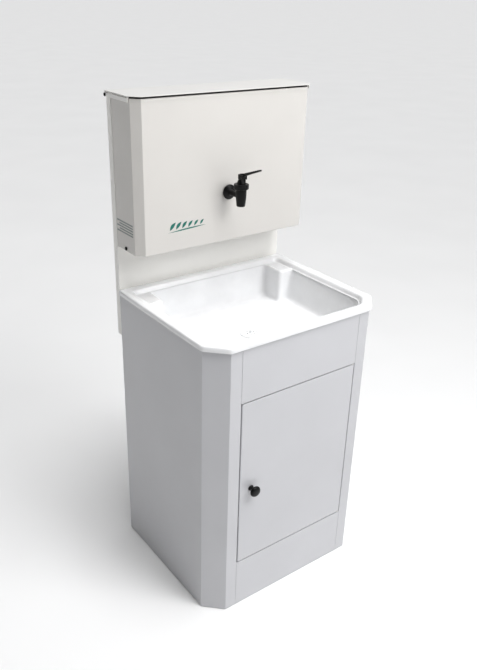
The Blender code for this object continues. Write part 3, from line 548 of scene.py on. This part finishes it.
def strainer():
    """The grate in the drain: a shallow dish with six holes."""
    top = DRAIN_Z + 0.0024
    dish = [
        (0.0022, top - 0.0022), (0.0162, top - 0.0016), (0.0166, top - 0.0006), (0.0160, top),
        (0.0022, top + 0.0008),
    ]
    holes = [
        ("DIFFERENCE", rod(0.0023, top - 0.01, top + 0.01, (x, DRAIN_Y + y, 0)))
        for x, y in ring_points(0.0098, 6)
    ]
    grate = carved("strainer_dish", lathe(dish, (0, DRAIN_Y, 0), "Z", 0.0004, True), holes)
    stands_for("strainer_grate", grate)


def knob_and_pins():
    """The door's mushroom knob, the tank's plug and the pins at the lid's rear ends."""
    reach = KNOB_AT[1] - BOX["door_knob"][0][1]
    knob = [
        (0, -GAP), (0.0075, -GAP), (0.0075, -0.0020), (0.0062, -0.0035), (0.0060, -0.0085),
        (0.0075, -0.0120), (0.0118, -0.0140), (0.0136, -0.0165), (0.0136, -0.0190), (0.0120, -0.0220),
        (0.0080, -reach + 0.0008), (0, -reach),
    ]
    bore = ("DIFFERENCE", rod(0.0023, -0.0135, 0.004, KNOB_AT, "Y"))
    stands_for("door_knob", carved("knob_turned", lathe(knob, KNOB_AT, "Y", 0.0016), [bore]))
    plug = [
        (0, -0.0035), (0.0040, -0.0030), (0.0045, -0.0015), (0.0045, -GAP), (0.0020, -GAP),
        (0.0020, 0.0050), (0, 0.0060),
    ]
    stands_for("tank_side_plug", mesh_of("plug_turned", lathe(plug, PLUG_AT, "X", 0.0006)))
    for tag, sign in (("left", -1), ("right", 1)):
        pin = [
            (0, -0.0095), (0.0012, -0.0095), (0.0015, -0.0090), (0.0015, GAP), (0.0038, GAP),
            (0.0038, 0.0014), (0.0026, 0.0022), (0, 0.0024),
        ]
        profile = [(radius, sign * out) for radius, out in pin]
        at = (sign * LID_PIVOT[0], LID_PIVOT[1], LID_PIVOT[2])
        stands_for(f"lid_pin_{tag}", mesh_of(f"lid_pin_{tag}_turned", lathe(profile, at, "X", 0.0004)))


def tap_turnings():
    """The tap's barrel with its escutcheon and tail, and the ribbed collar."""
    bottom = 0.943
    seat = 0.9555
    barrel_top = 0.990
    barrel = [
        (0, bottom), (0.0098, bottom), (0.0102, bottom + 0.001), (0.0122, 0.962), (0.0126, 0.970),
        (0.0126, barrel_top), (0, barrel_top),
    ]
    arm = [
        (0, 0.0225), (0.0060, 0.0225), (0.0060, -0.0018), (0.0170, -0.0018), (0.0180, -0.0030),
        (0.0176, -0.0050), (0.0080, -0.0080), (0.0066, -0.0120), (0.0066, -0.0440), (0, -0.0440),
    ]
    steps = [
        ("UNION", lathe(arm, TAP_PORT, "Y")),
        ("DIFFERENCE", rod(0.0072, seat, barrel_top + 0.01, TAP_AXIS)),
        ("DIFFERENCE", rod(0.0046, bottom - 0.01, seat + 0.001, TAP_AXIS)),
        ("DIFFERENCE", rod(0.0036, -0.0475, 0.0300, TAP_PORT, "Y")),
    ]
    stands_for("tap_body", carved("tap_barrel", lathe(barrel, TAP_AXIS), steps))
    collar = [
        (0.0130, 0.9835), (0.0165, 0.9835), (0.0175, 0.9845), (0.0175, COLLAR_TOP - 0.0012),
        (0.0163, COLLAR_TOP), (0.0108, COLLAR_TOP), (0.0108, COLLAR_TOP - 0.0020),
        (0.0130, COLLAR_TOP - 0.0020),
    ]
    grips = [
        ("DIFFERENCE", rod(0.0022, 0.97, 1.01, (x, TAP_AXIS[1] + y, 0))) for x, y in ring_points(0.0188, 8)
    ]
    stands_for("tap_collar", carved("tap_collar_turned", lathe(collar, TAP_AXIS, "Z", 0.0006, True), grips))


def ink_shape(name, outline, place, look, facing):
    """A flat printed patch: an outline (across, up) laid on the tank's front or its left side."""
    bm = bmesh.new()
    layers = []
    for depth in (0.0, INK):
        if facing == "front":
            points = [(place[0] + a, TANK_FRONT_Y - depth, place[2] + b) for a, b in outline]
        else:
            points = [(-CABINET_HALF - depth, place[1] + a, place[2] + b) for a, b in outline]
        layers.append([bm.verts.new(point) for point in points])
    bm.faces.new(layers[0])
    bm.faces.new(layers[1])
    count = len(outline)
    for k in range(count):
        after = (k + 1) % count
        bm.faces.new((layers[0][k], layers[0][after], layers[1][after], layers[1][k]))
    bmesh.ops.recalc_face_normals(bm, faces=bm.faces)
    add_piece(name, mesh_of(name, bm), look, "cabinet")


def leaf(length, width, slant):
    """A pointed leaf along a slanted line, as an outline (across, up)."""
    steps = 12
    along = [k / steps for k in range(steps + 1)]
    upper = [(t * length, math.sin(t * math.pi) * width / 2) for t in along]
    lower = [(a, -b * 0.55) for a, b in reversed(upper[1:-1])]
    cos, sin = math.cos(slant), math.sin(slant)
    return [(a * cos - b * sin, a * sin + b * cos) for a, b in upper + lower]


def printed_marks():
    """A plain row of leaves on the tank's front and a plain block of rules on its left side."""
    for k in range(LEAF_COUNT):
        size = 1.0 - 0.07 * k
        outline = leaf(0.024 * size, 0.0110 * size, math.radians(48))
        place = (-0.163 + LEAF_PITCH * k, 0, 0.8965 + 0.0006 * k)
        ink_shape(f"motif_leaf_{k}", outline, place, TEAL_INK, "front")
    stem = leaf(0.106, 0.0042, math.radians(3))
    ink_shape("motif_stem", stem, (-0.168, 0, 0.8915), TEAL_INK, "front")
    for k in range(RULE_COUNT):
        width = 0.074 - 0.011 * (k % 2)
        rule = [(0, 0), (width, 0), (width, RULE_HEIGHT), (0, RULE_HEIGHT)]
        ink_shape(f"label_rule_{k}", rule, (0, 0.125, 0.887 + RULE_PITCH * k), GREY_INK, "side")


def spring():
    """The tap's coil, its CAD shape copied onto a mesh of its own; on the real tap it shortens under the
    stem's seat cup as the lever is pressed.
    """
    bm = bmesh.new()
    bm.from_mesh(frame["nodes"]["tap_spring"].data)
    coil = stands_for("tap_spring", mesh_of("tap_spring_coil", bm))
    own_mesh(coil)


# The sheets take the four tones of one white coat, darker and lighter as painted shade and painted light.
SHEETS = {
    "left_side_panel": "cabinet_paint",
    "right_side_panel": "cabinet_paint",
    "upper_front_rail": "cabinet_paint",
    "lower_front_rail": "cabinet_paint",
    "rear_bottom_rail": "cabinet_paint",
    "door_panel": "cabinet_paint",
    "back_panel": "panel_paint",
    "tank_shell": "tank_paint",
    "tank_lid": "lid_paint",
}
EASED = {
    "tap_lever": 0.0006,
    "tank_hook_left": 0.0005,
    "tank_hook_right": 0.0005,
    "magnet_catch": 0.0008,
    "strike_plate": 0.0003,
}
REBUILT = {
    "basin", "strainer_grate", "door_knob", "tank_side_plug", "lid_pin_left", "lid_pin_right", "tap_body",
    "tap_collar", "tap_spring",
}

for sheet_node, sheet_look in SHEETS.items():
    bent_sheet(sheet_node, LOOKS[sheet_look])
basin()
strainer()
knob_and_pins()
tap_turnings()
printed_marks()
for eased_node, eased_radius in EASED.items():
    eased_copy(eased_node, eased_radius)
for kept_node, kept_object in frame["nodes"].items():
    if kept_node not in SHEETS and kept_node not in EASED and kept_node not in REBUILT:
        kept_object.data.materials.clear()
        kept_object.data.materials.append(LOOKS[SLOT[kept_node]])
spring()


# ---- Floor, light and camera


def add_light(name, kind, place, aim, energy, **settings):
    light = bpy.data.objects.new(name, bpy.data.lights.new(name, kind))
    light.data.energy = energy
    for key, value in settings.items():
        setattr(light.data, key, value)
    light.location = place
    light.rotation_euler = (Vector(place) - Vector(aim)).to_track_quat("Z", "Y").to_euler()
    bpy.context.scene.collection.objects.link(light)


def pale_sky():
    """A sky darker to the left, which the camera sees as one pale backdrop."""
    world = bpy.data.worlds.new("sky")
    world.use_nodes = True
    tree = world.node_tree
    direction = tree.nodes.new("ShaderNodeTexCoord").outputs["Generated"]
    across = tree.nodes.new("ShaderNodeSeparateXYZ")
    tree.links.new(direction, across.inputs["Vector"])
    strength = tree.nodes.new("ShaderNodeMapRange")
    for socket, value in (("From Min", -0.4), ("From Max", 1.0), ("To Min", 0.0), ("To Max", 0.58)):
        strength.inputs[socket].default_value = value
    tree.links.new(across.outputs["X"], strength.inputs["Value"])
    background = tree.nodes["Background"]
    background.inputs["Color"].default_value = (0.97, 0.98, 1.0, 1)
    tree.links.new(strength.outputs["Result"], background.inputs["Strength"])
    backdrop = tree.nodes.new("ShaderNodeBackground")
    backdrop.inputs["Color"].default_value = (0.97, 0.97, 0.97, 1)
    seen = tree.nodes.new("ShaderNodeMixShader")
    tree.links.new(tree.nodes.new("ShaderNodeLightPath").outputs["Is Camera Ray"], seen.inputs["Fac"])
    tree.links.new(background.outputs["Background"], seen.inputs[1])
    tree.links.new(backdrop.outputs["Background"], seen.inputs[2])
    tree.links.new(seen.outputs["Shader"], tree.nodes["World Output"].inputs["Surface"])
    return world


def stage():
    """A pale floor to the horizon, and soft light from above and from the front right."""
    bpy.ops.mesh.primitive_circle_add(
        vertices=96, radius=FLOOR_RADIUS, fill_type="NGON", location=(0, 0, -0.0005)
    )
    floor = bpy.context.object
    floor.name = "floor"
    floor.data.materials.append(pale_floor("pale_floor"))
    add_light("overhead", "SUN", (0.1, -0.6, 3.0), (0, 0, 0), 2.2, angle=math.radians(35))
    add_light("key", "AREA", (0.5, -1.35, 2.05), (0, 0, 0.95), 25, size=1.0)
    bpy.context.scene.world = pale_sky()
    bpy.context.scene.view_settings.view_transform = "Standard"


def camera():
    """The viewpoint: turned from straight ahead to the right, tilted down, rolled a little, in degrees."""
    turn, tilt, roll = (math.radians(angle) for angle in CAMERA_TURN_TILT_ROLL)
    ahead = Vector((math.sin(turn) * math.cos(tilt), math.cos(turn) * math.cos(tilt), math.sin(tilt)))
    level = Vector((math.cos(turn), -math.sin(turn), 0))
    upward = level.cross(ahead)
    right = level * math.cos(roll) + upward * math.sin(roll)
    up = upward * math.cos(roll) - level * math.sin(roll)
    pose = Matrix((right, up, -ahead)).transposed().to_4x4()
    pose.translation = CAMERA_PLACE
    viewer = bpy.data.objects.new("camera", bpy.data.cameras.new("camera"))
    viewer.data.lens = CAMERA_LENS
    viewer.matrix_world = pose
    bpy.context.scene.collection.objects.link(viewer)
    bpy.context.scene.camera = viewer


stage()
camera()
